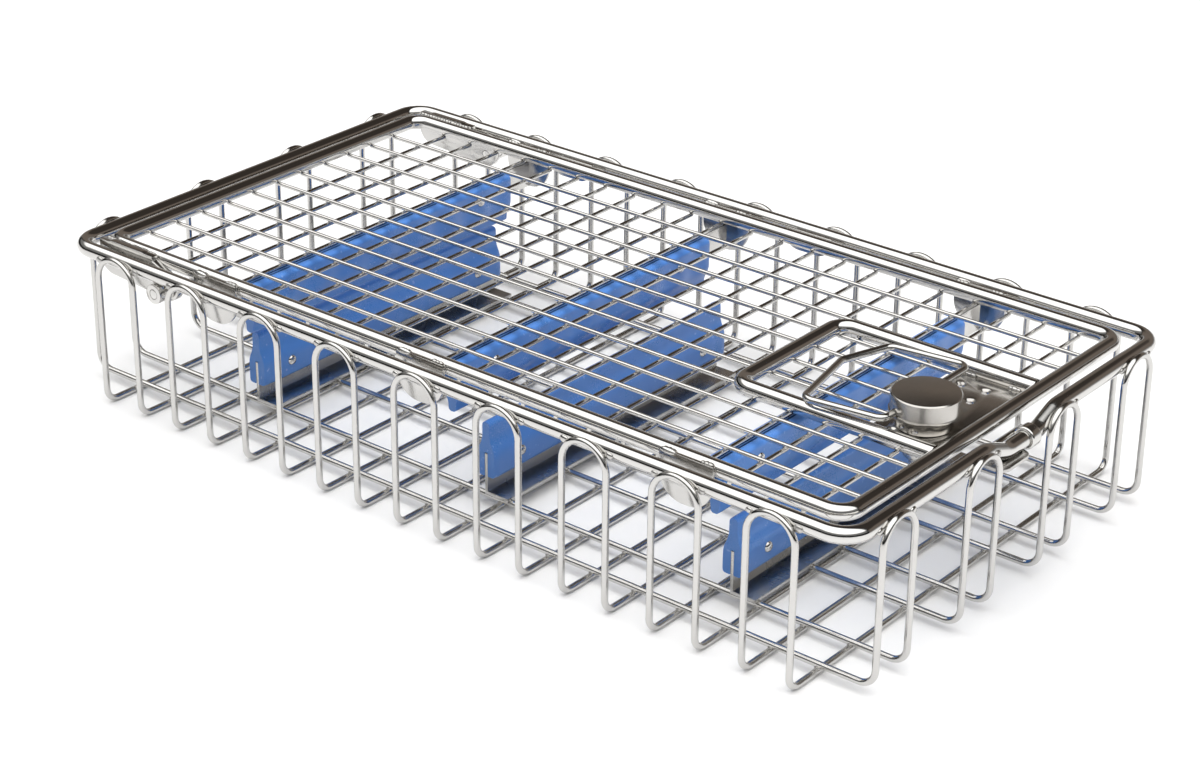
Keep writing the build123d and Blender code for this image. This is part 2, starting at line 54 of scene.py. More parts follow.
# %% Shader maths
class Socket:
    """A value in a node tree that Python's operators work on."""

    def __init__(self, tree, socket):
        self.tree = tree
        self.socket = socket

    def math(self, operation, *others):
        node = self.tree.nodes.new("ShaderNodeMath")
        node.operation = operation
        for slot, value in zip(node.inputs, (self,) + others):
            plug(self.tree, slot, value)
        return Socket(self.tree, node.outputs[0])

    def __add__(self, other): return self.math("ADD", other)
    def __radd__(self, other): return self.math("ADD", other)
    def __rsub__(self, other): return self.math("MULTIPLY", -1.0).math("ADD", other)
    def __mul__(self, other): return self.math("MULTIPLY", other)
    def __rmul__(self, other): return self.math("MULTIPLY", other)

    def step(self, low, high):
        """A soft 0 to 1 step between low and high."""
        node = self.tree.nodes.new("ShaderNodeMapRange")
        node.interpolation_type = "SMOOTHSTEP"
        for name, value in (("Value", self), ("From Min", low), ("From Max", high)):
            plug(self.tree, node.inputs[name], value)
        return Socket(self.tree, node.outputs[0])


def plug(tree, slot, value):
    """Link a Socket or set a number."""
    if isinstance(value, Socket):
        tree.links.new(value.socket, slot)
    else:
        slot.default_value = value


# %% A small kit for materials
class Shader:
    """Builds one node tree; node() adds any node with its settings and inputs."""

    def __init__(self, tree):
        self.tree = tree
        tree.nodes.clear()

    def node(self, kind, settings=None, out=0, **values):
        node = self.tree.nodes.new(kind)
        for key, value in (settings or {}).items():
            setattr(node, key, value)
        for key, value in values.items():
            name = key.replace("_", " ")
            slot = next(s for s in node.inputs if s.name == name and s.enabled)
            plug(self.tree, slot, value)
        return Socket(self.tree, node.outputs[out])

    def place(self):
        return self.node("ShaderNodeTexCoord", out=3)

    def noise(self, scale, detail=2.0, rough=0.5, vector=None):
        where = vector or self.place()
        return self.node("ShaderNodeTexNoise", Vector=where, Scale=scale, Detail=detail, Roughness=rough)

    def stretched(self, scale):
        return self.node("ShaderNodeMapping", Vector=self.place(), Scale=scale)

    def mix(self, factor, a, b):
        a, b = (c if isinstance(c, Socket) else (*c, 1.0) for c in (a, b))
        return self.node("ShaderNodeMix", {"data_type": "RGBA"}, out=2, Factor=factor, A=a, B=b)

    def bump(self, height, strength, distance):
        return self.node("ShaderNodeBump", Height=height, Strength=strength, Distance=distance)

    def surface(self, socket, kind="ShaderNodeOutputMaterial"):
        out = self.tree.nodes.new(kind)
        self.tree.links.new(socket.socket, out.inputs["Surface"])


def material(name):
    mat = bpy.data.materials.new(name)
    mat.use_nodes = True
    return mat, Shader(mat.node_tree)


# %% [markdown]
# The wire is electropolished stainless steel. It is nearly a mirror, with a
# slightly milky gloss that drifts along the wire and fine lengthwise drawing
# marks that only catch the light at its edges.

# %% Polished wire steel
WAVE_DEPTH = 0.00006
GRAIN_DEPTH = 0.00004
SKIN_DEPTH = 0.00012


def polished_steel(name, tint, low_rough, high_rough, wave):
    mat, sh = material(name)
    drift = sh.noise(18.0, 3.0)
    marks = sh.noise(900.0, 2.0)
    grime = sh.noise(75.0, 4.0, 0.6).step(0.52, 0.78)
    dark = tuple(c * 0.86 for c in tint)
    colour = sh.mix(grime * 0.5, tint, dark)
    rough = drift.step(0.3, 0.7) * (high_rough - low_rough) + low_rough + marks * 0.02
    height = sh.noise(260.0, 2.0) * 0.6 + marks * 0.15
    normal = sh.bump(height, wave, WAVE_DEPTH)
    sh.surface(sh.node("ShaderNodeBsdfPrincipled", Base_Color=colour, Metallic=1.0, Roughness=rough,
                       Normal=normal))
    return mat


wire_steel = polished_steel("electropolished_wire", (0.64, 0.63, 0.61), 0.10, 0.17, 0.25)
rod_steel = polished_steel("electropolished_rod", (0.68, 0.67, 0.65), 0.06, 0.12, 0.18)
print("wire finishes made")

# %% [markdown]
# Sheet steel was blanked, bent and pickled, so it is greyer than the wire and
# shows a faint rolled grain. The latch plate and the knob's top are satin.

# %% Sheet and satin steel
def grained_steel(name, tint, grain_scale, low_rough, high_rough, strength):
    mat, sh = material(name)
    grain = sh.noise(1.0, 3.0, 0.6, sh.stretched(grain_scale))
    cloud = sh.noise(35.0, 4.0)
    mottled = cloud.step(0.35, 0.7)
    dark = tuple(c * 0.8 for c in tint)
    colour = sh.mix(mottled * 0.6 + grain * 0.25, tint, dark)
    rough = mottled * (high_rough - low_rough) + low_rough + grain * 0.05
    normal = sh.bump(grain, strength, GRAIN_DEPTH)
    sh.surface(sh.node("ShaderNodeBsdfPrincipled", Base_Color=colour, Metallic=1.0, Roughness=rough,
                       Normal=normal))
    return mat


sheet_steel = grained_steel("pickled_sheet_steel", (0.60, 0.59, 0.57), (120.0, 1500.0, 120.0), 0.20, 0.30, 0.3)
bent_steel = grained_steel("polished_bent_sheet", (0.66, 0.65, 0.63), (160.0, 900.0, 160.0), 0.10, 0.18, 0.15)
satin_steel = grained_steel("satin_latch_steel", (0.60, 0.58, 0.55), (1400.0, 160.0, 160.0), 0.16, 0.24, 0.15)
weld_steel = grained_steel("weld_bead_steel", (0.60, 0.59, 0.57), (500.0, 500.0, 500.0), 0.16, 0.34, 0.6)
print("sheet finishes made")

# %% [markdown]
# The silicone is moulded, soft and slightly milky. Its colour is deeper in the
# body than at thin edges, it carries lint and a fine mould texture, and a broad
# soft sheen lies on every rounded shoulder.

# %% Blue silicone
def silicone(name, body, pale, deep):
    mat, sh = material(name)
    cloud = sh.noise(22.0, 3.0).step(0.3, 0.75)
    colour = sh.mix(cloud * 0.5, body, deep)
    lint = sh.noise(420.0, 1.0).step(0.70, 0.76)
    colour = sh.mix(lint * 0.35, colour, pale)
    skin = sh.noise(1600.0, 2.0)
    flow = sh.noise(60.0, 2.0)
    rough = cloud * 0.06 + skin * 0.05 + 0.23
    normal = sh.bump(skin * 0.3 + flow, 0.25, SKIN_DEPTH)
    sh.surface(sh.node("ShaderNodeBsdfPrincipled", Base_Color=colour, Roughness=rough, Normal=normal,
                       Subsurface_Weight=0.15, Subsurface_Radius=(0.4, 0.6, 1.0),
                       Subsurface_Scale=0.002, Sheen_Weight=0.1))
    return mat


blue_silicone = silicone("blue_silicone", (0.080, 0.230, 0.600), (0.36, 0.52, 0.82), (0.058, 0.180, 0.520))
print("silicone made")

# %% [markdown]
# Every wire starts as its centre line: corner points joined by straight runs,
# with an arc of the tool's bend radius at each corner.

# %% Centre lines with bends
ARC_STEP = math.radians(9)


def bent_line(points, radii, closed=False):
    """Points along a line in metres, with an arc at each corner; input is in millimetres."""
    corners = [Vector(p) for p in points]
    count = len(corners)
    line = []
    inner = iter(radii)
    for i, corner in enumerate(corners):
        if not closed and i in (0, count - 1):
            line.append(corner)
            continue
        back = (corners[i - 1] - corner).normalized()
        ahead = (corners[(i + 1) % count] - corner).normalized()
        between = back.angle(ahead)
        turn = math.pi - between
        radius = next(inner)
        centre = corner + (back + ahead).normalized() * radius / math.sin(between / 2)
        start = corner + back * radius * math.tan(turn / 2)
        axis = back.cross(start - centre).normalized()
        steps = max(2, math.ceil(turn / ARC_STEP))
        for k in range(steps + 1):
            line.append(centre + Matrix.Rotation(turn * k / steps, 3, axis) @ (start - centre))
    return [p * MM for p in line]


# %% [markdown]
# Geometry Nodes turn a line into a round wire: the line becomes a curve, and a
# circle is swept along it. The radius and the number of sides are inputs, so
# one tree makes the thin mesh wire and the thick frame rod.

# %% Round wire tree
def new_tree(name, inputs):
    tree = bpy.data.node_groups.new(name, "GeometryNodeTree")
    tree.interface.new_socket("Geometry", in_out="INPUT", socket_type="NodeSocketGeometry")
    for label, kind, value in inputs:
        socket = tree.interface.new_socket(label, in_out="INPUT", socket_type=kind)
        if value is not None:
            socket.default_value = value
    tree.interface.new_socket("Geometry", in_out="OUTPUT", socket_type="NodeSocketGeometry")
    return tree


def chain(tree, *steps):
    """Add nodes in a row, each step (type, {input: value}); the first output feeds the first input."""
    before = tree.nodes.new("NodeGroupInput")
    start = before
    flow = before.outputs[0]
    for kind, values in steps:
        node = tree.nodes.new(kind)
        tree.links.new(flow, node.inputs[0])
        for name, value in values.items():
            if isinstance(value, str):
                tree.links.new(start.outputs[value], node.inputs[name])
            elif isinstance(value, bpy.types.NodeSocket):
                tree.links.new(value, node.inputs[name])
            else:
                node.inputs[name].default_value = value
        flow = node.outputs[0]
    end = tree.nodes.new("NodeGroupOutput")
    tree.links.new(flow, end.inputs[0])
    return start


def round_wire_tree():
    tree = new_tree("Round wire", [
        ("Wire radius", "NodeSocketFloat", 0.001),
        ("Sides", "NodeSocketInt", 16),
        ("Finish", "NodeSocketMaterial", None),
    ])
    circle = tree.nodes.new("GeometryNodeCurvePrimitiveCircle")
    start = chain(
        tree,
        ("GeometryNodeMeshToCurve", {}),
        ("GeometryNodeCurveToMesh", {"Profile Curve": circle.outputs[0], "Fill Caps": True}),
        ("GeometryNodeSetShadeSmooth", {}),
        ("GeometryNodeRealizeInstances", {}),
        ("GeometryNodeSetMaterial", {"Material": "Finish"}),
    )
    tree.links.new(start.outputs["Wire radius"], circle.inputs["Radius"])
    tree.links.new(start.outputs["Sides"], circle.inputs["Resolution"])
    return tree


WIRE_TREE = round_wire_tree()


# %% Applying a tree and settling the piece
def apply_tree(obj, tree, **values):
    """Run a tree on an object and keep its result as a plain mesh."""
    modifier = obj.modifiers.new(tree.name, "NODES")
    modifier.node_group = tree
    labels = {item.name: item.identifier for item in tree.interface.items_tree if item.in_out == "INPUT"}
    for key, value in values.items():
        modifier[labels[key.replace("_", " ")]] = value
    keep_result(obj)


def keep_result(obj):
    """Replace an object's mesh by what its modifiers make of it."""
    graph = bpy.context.evaluated_depsgraph_get()
    graph.update()
    mesh = bpy.data.meshes.new_from_object(obj.evaluated_get(graph))
    mesh.name = obj.name
    obj.modifiers.clear()
    obj.data = mesh


def lines_object(name, lines):
    """An object of bare edges: each line is (points, closed)."""
    verts, edges = [], []
    for points, closed in lines:
        base = len(verts)
        verts += points
        edges += [(base + i, base + i + 1) for i in range(len(points) - 1)]
        if closed:
            edges.append((base + len(points) - 1, base))
    mesh = bpy.data.meshes.new(name)
    mesh.from_pydata(verts, edges, [])
    obj = bpy.data.objects.new(name, mesh)
    bpy.context.collection.objects.link(obj)
    return obj


def settle(piece, body, slot, *nodes):
    """Ride a body and stand for CAD nodes; the slot is not used."""
    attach(piece, body)
    if nodes:
        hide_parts(*nodes)


def make_wire(name, lines, diameter, sides, finish, body, *nodes):
    obj = lines_object(name, lines)
    apply_tree(obj, WIRE_TREE, Wire_radius=diameter / 2 * MM, Sides=sides, Finish=finish)
    settle(obj, body, "polished_steel", *nodes)


# %% [markdown]
# The basket is thirteen closed wires. Nine go across, each with two floor runs
# and an arch on each long side. Four go along and lie on the nine.

# %% Basket wires
WIRE_D = 3.2
PITCH = 25.0
SIDE_Y = 132.4
END_X = 241.4
ARCH_Z = 84.0 - WIRE_D / 2
FLOOR_Z = WIRE_D / 2
LONG_FLOOR_Z = FLOOR_Z + WIRE_D
CROSS_BEND = 6.4
LONG_BEND = 8.0
WIRE_SIDES = 20
LONG_PITCH = 66.0
LONG_HALF = 12.0

for i in range(9):
    a = (2 * i - 8.5) * PITCH
    b = a + PITCH
    arch = (PITCH - 0.2) / 2
    corners = [(a, -SIDE_Y, FLOOR_Z), (a, -SIDE_Y, ARCH_Z), (b, -SIDE_Y, ARCH_Z), (b, -SIDE_Y, FLOOR_Z),
               (b, SIDE_Y, FLOOR_Z), (b, SIDE_Y, ARCH_Z), (a, SIDE_Y, ARCH_Z), (a, SIDE_Y, FLOOR_Z)]
    line = bent_line(corners, [CROSS_BEND, arch, arch, CROSS_BEND] * 2, closed=True)
    make_wire(f"cross_ring_wire_{i + 1}", [(line, True)], WIRE_D, WIRE_SIDES, wire_steel,
              "basket", f"cross_ring_{i + 1}")

LONG_Y = [(k - 1.5) * LONG_PITCH for k in range(4)]
for k, middle in enumerate(LONG_Y):
    a, b = middle - LONG_HALF, middle + LONG_HALF
    arch = LONG_HALF - 0.1
    corners = [(-END_X, a, LONG_FLOOR_Z), (-END_X, a, ARCH_Z), (-END_X, b, ARCH_Z), (-END_X, b, LONG_FLOOR_Z),
               (END_X, b, LONG_FLOOR_Z), (END_X, b, ARCH_Z), (END_X, a, ARCH_Z), (END_X, a, LONG_FLOOR_Z)]
    line = bent_line(corners, [LONG_BEND, arch, arch, LONG_BEND] * 2, closed=True)
    make_wire(f"length_ring_wire_{k + 1}", [(line, True)], WIRE_D, WIRE_SIDES, wire_steel,
              "basket", f"length_ring_{k + 1}")
print("basket wires made")

# %% [markdown]
# The rim and the lid's frame are thick rod, bent into rounded rectangles one
# inside the other. The rim dips at the latch so that the tongue can pass.

# %% Rim, lid frame, guard loop and bail
ROD_SIDES = 32
ROD_D = 8.0
RIM_BEND, DIP_BEND, LID_BEND, BAIL_BEND = 12.5, 18.0, 9.0, 5.0
RIM_X, RIM_Y, RIM_Z = 235.8, 126.8, 80.0
DIP_Y, DIP_MOUTH, DIP_FLOOR, DIP_Z = 5.0, 29.0, 13.0, 74.0
rim_corners = [(-RIM_X, -RIM_Y, RIM_Z), (RIM_X, -RIM_Y, RIM_Z), (RIM_X, DIP_Y - DIP_MOUTH, RIM_Z),
               (RIM_X, DIP_Y - DIP_FLOOR, DIP_Z), (RIM_X, DIP_Y + DIP_FLOOR, DIP_Z),
               (RIM_X, DIP_Y + DIP_MOUTH, RIM_Z), (RIM_X, RIM_Y, RIM_Z), (-RIM_X, RIM_Y, RIM_Z)]
rim_line = bent_line(rim_corners, [RIM_BEND] * 2 + [DIP_BEND] * 4 + [RIM_BEND] * 2, closed=True)
make_wire("rim_rod", [(rim_line, True)], ROD_D, ROD_SIDES, rod_steel, "basket", "rim")

LID_X, LID_Y, LID_Z, LID_D = 223.0, 112.6, 81.0, 7.8
lid_corners = [(-LID_X, -LID_Y, LID_Z), (LID_X, -LID_Y, LID_Z), (LID_X, LID_Y, LID_Z), (-LID_X, LID_Y, LID_Z)]
lid_line = bent_line(lid_corners, [LID_BEND] * 4, closed=True)
make_wire("lid_frame_rod", [(lid_line, True)], LID_D, ROD_SIDES, rod_steel, "lid", "lid_frame")

LID_UNDER = LID_Z - LID_D / 2
GUARD_Z = LID_UNDER + ROD_D / 2
GUARD_X, GUARD_Y = 114.0, 42.0
guard_end = LID_X - 2.0
guard_line = bent_line([(guard_end, -GUARD_Y, GUARD_Z), (GUARD_X, -GUARD_Y, GUARD_Z),
                        (GUARD_X, GUARD_Y, GUARD_Z), (guard_end, GUARD_Y, GUARD_Z)], [LID_BEND] * 2)
make_wire("guard_rod", [(guard_line, False)], ROD_D, ROD_SIDES, rod_steel, "lid", "guard_loop")

PLATE_TOP = LID_UNDER + 2.0
KNOB_X = 200.0
BAIL_D, BAIL_SIDES = 3.5, 24
BAIL_Z = PLATE_TOP + 9.0
BAIL_X = KNOB_X - 7.0
bail_path = [(BAIL_X, -27.9), (BAIL_X, -40.5), (154.0, -46.0), (145.0, -2.75), (154.0, 24.0),
             (BAIL_X, 29.5), (BAIL_X, -7.1)]
bail_line = bent_line([(x, y, BAIL_Z) for x, y in bail_path], [BAIL_BEND] * 5)
make_wire("bail_wire", [(bail_line, False)], BAIL_D, BAIL_SIDES, wire_steel, "bail", "bail")
print("rods made")

# %% [markdown]
# The lid's mesh is two layers of thin wire, spot welded where they cross. Real
# mesh is never dead straight, so each wire wanders by a few hundredths.

# %% Lid mesh
MESH_D = 2.2
CROSS_Z = LID_UNDER - MESH_D / 2
ALONG_Z = CROSS_Z + MESH_D
MESH_SIDES = 12
MESH_SWAY = 0.12
PLATE_LEFT = 182.0
mesh_x = [(i - 10.5) * 19.25 for i in range(22)]
mesh_y = [(j - 5) * 18.0 for j in range(11)]
upper_x = [mesh_x[3], mesh_x[10], mesh_x[18]]
wander = random.Random(7)


def straight_wire(start, end):
    """A nearly straight run with a slight wander between its ends."""
    a, b = Vector(start), Vector(end)
    side = Vector((0, 0, 1)).cross((b - a).normalized())
    steps = max(2, int((b - a).length / 45))
    points = []
    for k in range(steps + 1):
        sway = 0 if k in (0, steps) else wander.uniform(-MESH_SWAY, MESH_SWAY)
        points.append((a.lerp(b, k / steps) + side * sway) * MM)
    return points, False


cross_lines = []
for x in mesh_x:
    if x < PLATE_LEFT:
        cross_lines.append(straight_wire((x, -LID_Y, CROSS_Z), (x, LID_Y, CROSS_Z)))
    else:
        cross_lines.append(straight_wire((x, -LID_Y, CROSS_Z), (x, -GUARD_Y, CROSS_Z)))
        cross_lines.append(straight_wire((x, GUARD_Y, CROSS_Z), (x, LID_Y, CROSS_Z)))
make_wire("lid_mesh_cross", cross_lines, MESH_D, MESH_SIDES, wire_steel, "lid", "lid_cross_wires")

inner_x = LID_X - LID_D / 2 + 0.5
along_lines = []
for y in mesh_y:
    if abs(y) > GUARD_Y:
        along_lines.append(straight_wire((-inner_x, y, ALONG_Z), (inner_x, y, ALONG_Z)))
    else:
        along_lines.append(straight_wire((-inner_x, y, ALONG_Z), (GUARD_X - 3.0, y, ALONG_Z)))
        along_lines.append(straight_wire((GUARD_X + 3.0, y, ALONG_Z), (PLATE_LEFT, y, ALONG_Z)))
make_wire("lid_mesh_along", along_lines, MESH_D, MESH_SIDES, wire_steel, "lid", "lid_length_wires")
print("mesh wires", len(cross_lines), "across", len(along_lines), "along")

# %% [markdown]
# Sheet parts keep the CAD shape. A copy has its loose triangles joined, flat
# areas cleaned and its edges rounded by a small bevel, as blanked steel has
# after tumbling.

# %% Rounded copies of the sheet parts
BEVEL_FROM = math.radians(35)
SHARP_FROM = math.radians(32)


def rounded_copy(node, width, finish, body, slot):
    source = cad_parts[node]
    mesh = source.data.copy()
    piece = bpy.data.objects.new(node + "_part", mesh)
    bpy.context.collection.objects.link(piece)
    work = bmesh.new()
    work.from_mesh(mesh)
    bmesh.ops.remove_doubles(work, verts=work.verts, dist=1e-6)
    bmesh.ops.dissolve_limit(work, angle_limit=math.radians(1), verts=work.verts, edges=work.edges)
    work.to_mesh(mesh)
    work.free()
    mesh.materials.clear()
    mesh.materials.append(finish)
    bevel = piece.modifiers.new("edge", "BEVEL")
    bevel.width = width * MM
    bevel.segments = 2
    bevel.limit_method = "ANGLE"
    bevel.angle_limit = BEVEL_FROM
    keep_result(piece)
    piece.data.shade_smooth()
    piece.data.set_sharp_from_angle(angle=SHARP_FROM)
    settle(piece, body, slot, node)


for node in ("keeper_plate", "lower_bracket_1", "lower_bracket_2", "lower_bracket_3"):
    rounded_copy(node, 0.3, sheet_steel, "basket", "sheet_steel")
for node in ("hinge_bush_near", "hinge_bush_far", "rim_collar", "rim_link_rod"):
    rounded_copy(node, 0.3, rod_steel, "basket", "polished_steel")
for node in ("hinge_cheek_near", "hinge_cheek_far", "upper_bracket_1", "upper_bracket_2", "upper_bracket_3",
             "lid_stay_lugs"):
    rounded_copy(node, 0.3, bent_steel, "lid", "sheet_steel")
for node in ("hinge_pin_near", "hinge_pin_far"):
    rounded_copy(node, 0.4, rod_steel, "lid", "polished_steel")
rounded_copy("latch_plate", 0.2, satin_steel, "lid", "satin_steel")
for node in ("knob_foot", "knob_cap"):
    rounded_copy(node, 0.3, satin_steel, "knob", "satin_steel")
for node in ("tongue", "tongue_nut"):
    rounded_copy(node, 0.3, sheet_steel, "knob", "sheet_steel")
rounded_copy("knob_spindle", 0.2, rod_steel, "knob", "polished_steel")
print("sheet parts made")

# %% [markdown]
# Each silicone bar is a slab that swells into a fork and grips an upright
# steel sheet. Its section is drawn once as a rounded outline and swept along
# the bar. The upper bars have soft scallops along their shoulders.

# %% Silicone bars
def rounded_outline(points, radii, steps=5):
    """A closed outline in two directions, with a fillet at each corner."""
    ring = []
    count = len(points)
    for i, (x, z) in enumerate(points):
        here = Vector((x, z))
        back = Vector(points[i - 1]) - here
        ahead = Vector(points[(i + 1) % count]) - here
        r = min(radii[i], back.length * 0.45, ahead.length * 0.45)
        for k in range(steps + 1):
            t = k / steps
            a = here + back.normalized() * r
            b = here + ahead.normalized() * r
            ring.append((a.lerp(here, t)).lerp(here.lerp(b, t), t))
    return ring


BAR_SLAB, BAR_FORK, BAR_SLOT = 2.5, 5.8, 1.0
BAR_FLARE_H = 6.0
BAR_STATIONS = 97
BAR_END_ROUND = 1.2
SCALLOP_MIDDLE, SCALLOP_REACH, SCALLOP_PITCH = 12.0, 9.0, 24.0


def bar_section(height, depth, slot_depth):
    """Half widths and heights of the section's corners, each with its fillet."""
    half = [(BAR_SLAB, height, 2.2), (BAR_SLAB, depth + BAR_FLARE_H, 5.0), (BAR_FORK, depth, 5.0),
            (BAR_FORK, 0.0, 2.4), (BAR_SLOT, 0.0, 0.4), (BAR_SLOT, slot_depth, 0.4)]
    full = half + [(-x, z, r) for x, z, r in reversed(half)]
    return rounded_outline([(x, z) for x, z, r in full], [r for x, z, r in full])


def silicone_bar(name, x, low, high, half_y, depth, slot_depth, fork_down, scallop, body, node):
    section = bar_section(high - low, depth, slot_depth)
    work = bmesh.new()
    rings = []
    for s in range(BAR_STATIONS):
        y = -half_y + 2 * half_y * s / (BAR_STATIONS - 1)
        end = min(1.0, (half_y - abs(y)) / BAR_END_ROUND)
        inset = 0.9 + 0.1 * math.sqrt(max(0.0, 1 - (1 - end) ** 2)) if end < 1 else 1.0
        ring = []
        for p in section:
            swell = max(0.0, 1 - abs(p.y - SCALLOP_MIDDLE) / SCALLOP_REACH)
            dip = scallop * swell * (0.5 - 0.5 * math.cos(2 * math.pi * y / SCALLOP_PITCH))
            px = p.x * inset - math.copysign(dip, p.x) * (abs(p.x) > 2.0)
            pz = p.y if fork_down else (high - low) - p.y
            ring.append(work.verts.new(((x + px) * MM, y * MM, (low + pz) * MM)))
        rings.append(ring)
    count = len(section)
    for a, b in zip(rings, rings[1:]):
        for i in range(count):
            work.faces.new((a[i], a[(i + 1) % count], b[(i + 1) % count], b[i]))
    work.faces.new(rings[0][::-1])
    work.faces.new(rings[-1])
    bmesh.ops.recalc_face_normals(work, faces=work.faces)
    mesh = bpy.data.meshes.new(name)
    work.to_mesh(mesh)
    work.free()
    mesh.materials.append(blue_silicone)
    piece = bpy.data.objects.new(name, mesh)
    bpy.context.collection.objects.link(piece)
    mesh.shade_smooth()
    mesh.set_sharp_from_angle(angle=math.radians(60))
    settle(piece, body, "blue_silicone", node)


LOWER_LOW, LOWER_TOP, LOWER_HALF_Y = 16.0, 44.5, 90.0
UPPER_LOW, UPPER_HALF_Y = 47.5, 96.0
UPPER_TOP = CROSS_Z - MESH_D / 2 - 1.0
lower_x = [-147.0, 6.0, 150.5]
for i in range(3):
    silicone_bar(f"lower_silicone_{i + 1}", lower_x[i], LOWER_LOW, LOWER_TOP, LOWER_HALF_Y,
                 depth=13.0, slot_depth=12.5, fork_down=True, scallop=0.0,
                 body="basket", node=f"lower_silicone_bar_{i + 1}")
    silicone_bar(f"upper_silicone_{i + 1}", upper_x[i], UPPER_LOW, UPPER_TOP, UPPER_HALF_Y,
                 depth=16.0, slot_depth=13.5, fork_down=False, scallop=2.1,
                 body="lid", node=f"upper_silicone_bar_{i + 1}")
print("silicone bars made")

# %% [markdown]
# Rivets and welds repeat, so Geometry Nodes place them: one small shape is
# instanced on every point of a bare point mesh, each at a slightly other size.

# %% Tree that sets a shape on points
SIZE_SEED = 3


def dots_tree():
    tree = new_tree("Shapes on points", [
        ("Shape", "NodeSocketObject", None),
        ("Vary", "NodeSocketFloat", 0.0),
        ("Finish", "NodeSocketMaterial", None),
    ])
    shape = tree.nodes.new("GeometryNodeObjectInfo")
    size = tree.nodes.new("FunctionNodeRandomValue")
    low = tree.nodes.new("ShaderNodeMath")
    low.operation = "SUBTRACT"
    low.inputs[0].default_value = 1.0
    start = chain(
        tree,
        ("GeometryNodeMeshToPoints", {}),
        ("GeometryNodeInstanceOnPoints", {"Instance": shape.outputs["Geometry"], "Scale": size.outputs[1]}),
        ("GeometryNodeRealizeInstances", {}),
        ("GeometryNodeSetShadeSmooth", {}),
        ("GeometryNodeSetMaterial", {"Material": "Finish"}),
    )
    link = tree.links.new
    link(start.outputs["Shape"], shape.inputs["Object"])
    link(start.outputs["Vary"], low.inputs[1])
    link(low.outputs[0], size.inputs[2])
    size.inputs[3].default_value = 1.0
    size.inputs["Seed"].default_value = SIZE_SEED
    return tree


DOTS_TREE = dots_tree()


def blob(name, sx, sy, sz, rings, sides):
    """A small rounded lump used as an instance."""
    work = bmesh.new()
    bmesh.ops.create_uvsphere(work, u_segments=sides, v_segments=rings, radius=1.0)
    bmesh.ops.scale(work, vec=(sx * MM, sy * MM, sz * MM), verts=work.verts)
    mesh = bpy.data.meshes.new(name)
    work.to_mesh(mesh)
    work.free()
    return bpy.data.objects.new(name, mesh)


def set_on_points(name, shape, points, finish, body, slot, vary, *nodes):
    obj = lines_object(name, [([Vector(p) * MM], False) for p in points])
    apply_tree(obj, DOTS_TREE, Shape=shape, Vary=vary, Finish=finish)
    settle(obj, body, slot, *nodes)


# %% Weld nuggets of the mesh and the floor
nugget = blob("nugget", 1.25, 1.25, 1.0, 5, 8)
mesh_crossings = [(x, y, CROSS_Z + MESH_D / 2) for x in mesh_x for y in mesh_y
                  if not (x > PLATE_LEFT and abs(y) < GUARD_Y)]
set_on_points("lid_mesh_welds", nugget, mesh_crossings, weld_steel, "lid", "polished_steel", 0.3)
floor_nugget = blob("floor_nugget", 1.9, 1.9, 1.3, 6, 10)
floor_x = [(i - 8.5) * PITCH for i in range(18)]
long_y = [m + s * LONG_HALF for m in LONG_Y for s in (-1, 1)]
floor_crossings = [(x, y, WIRE_D) for x in floor_x for y in long_y]
set_on_points("floor_welds", floor_nugget, floor_crossings, weld_steel, "basket", "polished_steel", 0.3)
print("welds", len(mesh_crossings), "in the lid,", len(floor_crossings), "in the floor")

# %% Welds of the wires on the rim
side_bead = blob("side_bead", 2.5, 1.1, 1.9, 7, 12)
side_points = [(x, s * (SIDE_Y - WIRE_D / 2), RIM_Z - 1.0) for x in floor_x for s in (-1, 1)]
set_on_points("side_welds", side_bead, side_points, weld_steel, "basket", "polished_steel", 0.25)
end_bead = blob("end_bead", 1.1, 2.5, 1.9, 7, 12)
end_points = [(s * (END_X - WIRE_D / 2), y, RIM_Z - 1.0) for y in long_y for s in (-1, 1)
              if not (s > 0 and abs(y - DIP_Y) < DIP_MOUTH - 8)]
set_on_points("end_welds", end_bead, end_points, weld_steel, "basket", "polished_steel", 0.25)

# %% Welds of the lid: guard ends, latch plate and cheeks
guard_bead = blob("guard_bead", 2.2, 4.4, 3.6, 8, 14)
guard_ends = [(LID_X - LID_D / 2 - 0.8, s * GUARD_Y, GUARD_Z - 0.4) for s in (-1, 1)]
set_on_points("guard_welds", guard_bead, guard_ends, weld_steel, "lid", "polished_steel", 0.1)
seam_bead = blob("seam_bead", 1.9, 1.5, 1.2, 6, 10)
lid_side = LID_Y + LID_D / 2
cheek_seam = [(x, s * (lid_side - 0.4), LID_Z + 2.9) for x in range(-221, -187, 2) for s in (-1, 1)]
tab_seam = [(x + dx, s * (lid_side - 0.3), LID_Z + 2.6) for x in upper_x
            for dx in (-12, -10, -8, 8, 10, 12) for s in (-1, 1)]
plate_seam = [(x, s * (GUARD_Y - 3.6), PLATE_TOP + 0.2) for x in (186, 188, 190, 210, 212, 214)
              for s in (-1, 1)]
seams = cheek_seam + tab_seam + plate_seam
set_on_points("lid_seam_welds", seam_bead, seams, weld_steel, "lid", "polished_steel", 0.35)
print("seam beads", len(seams))

tab_bead = blob("tab_bead", 4.6, 1.5, 1.5, 8, 16)
tab_tops = [(x - 10.0, s * 117.4, LID_Z + 2.7) for x in upper_x for s in (-1, 1)]
set_on_points("tab_welds", tab_bead, tab_tops, rod_steel, "lid", "polished_steel", 0.15)

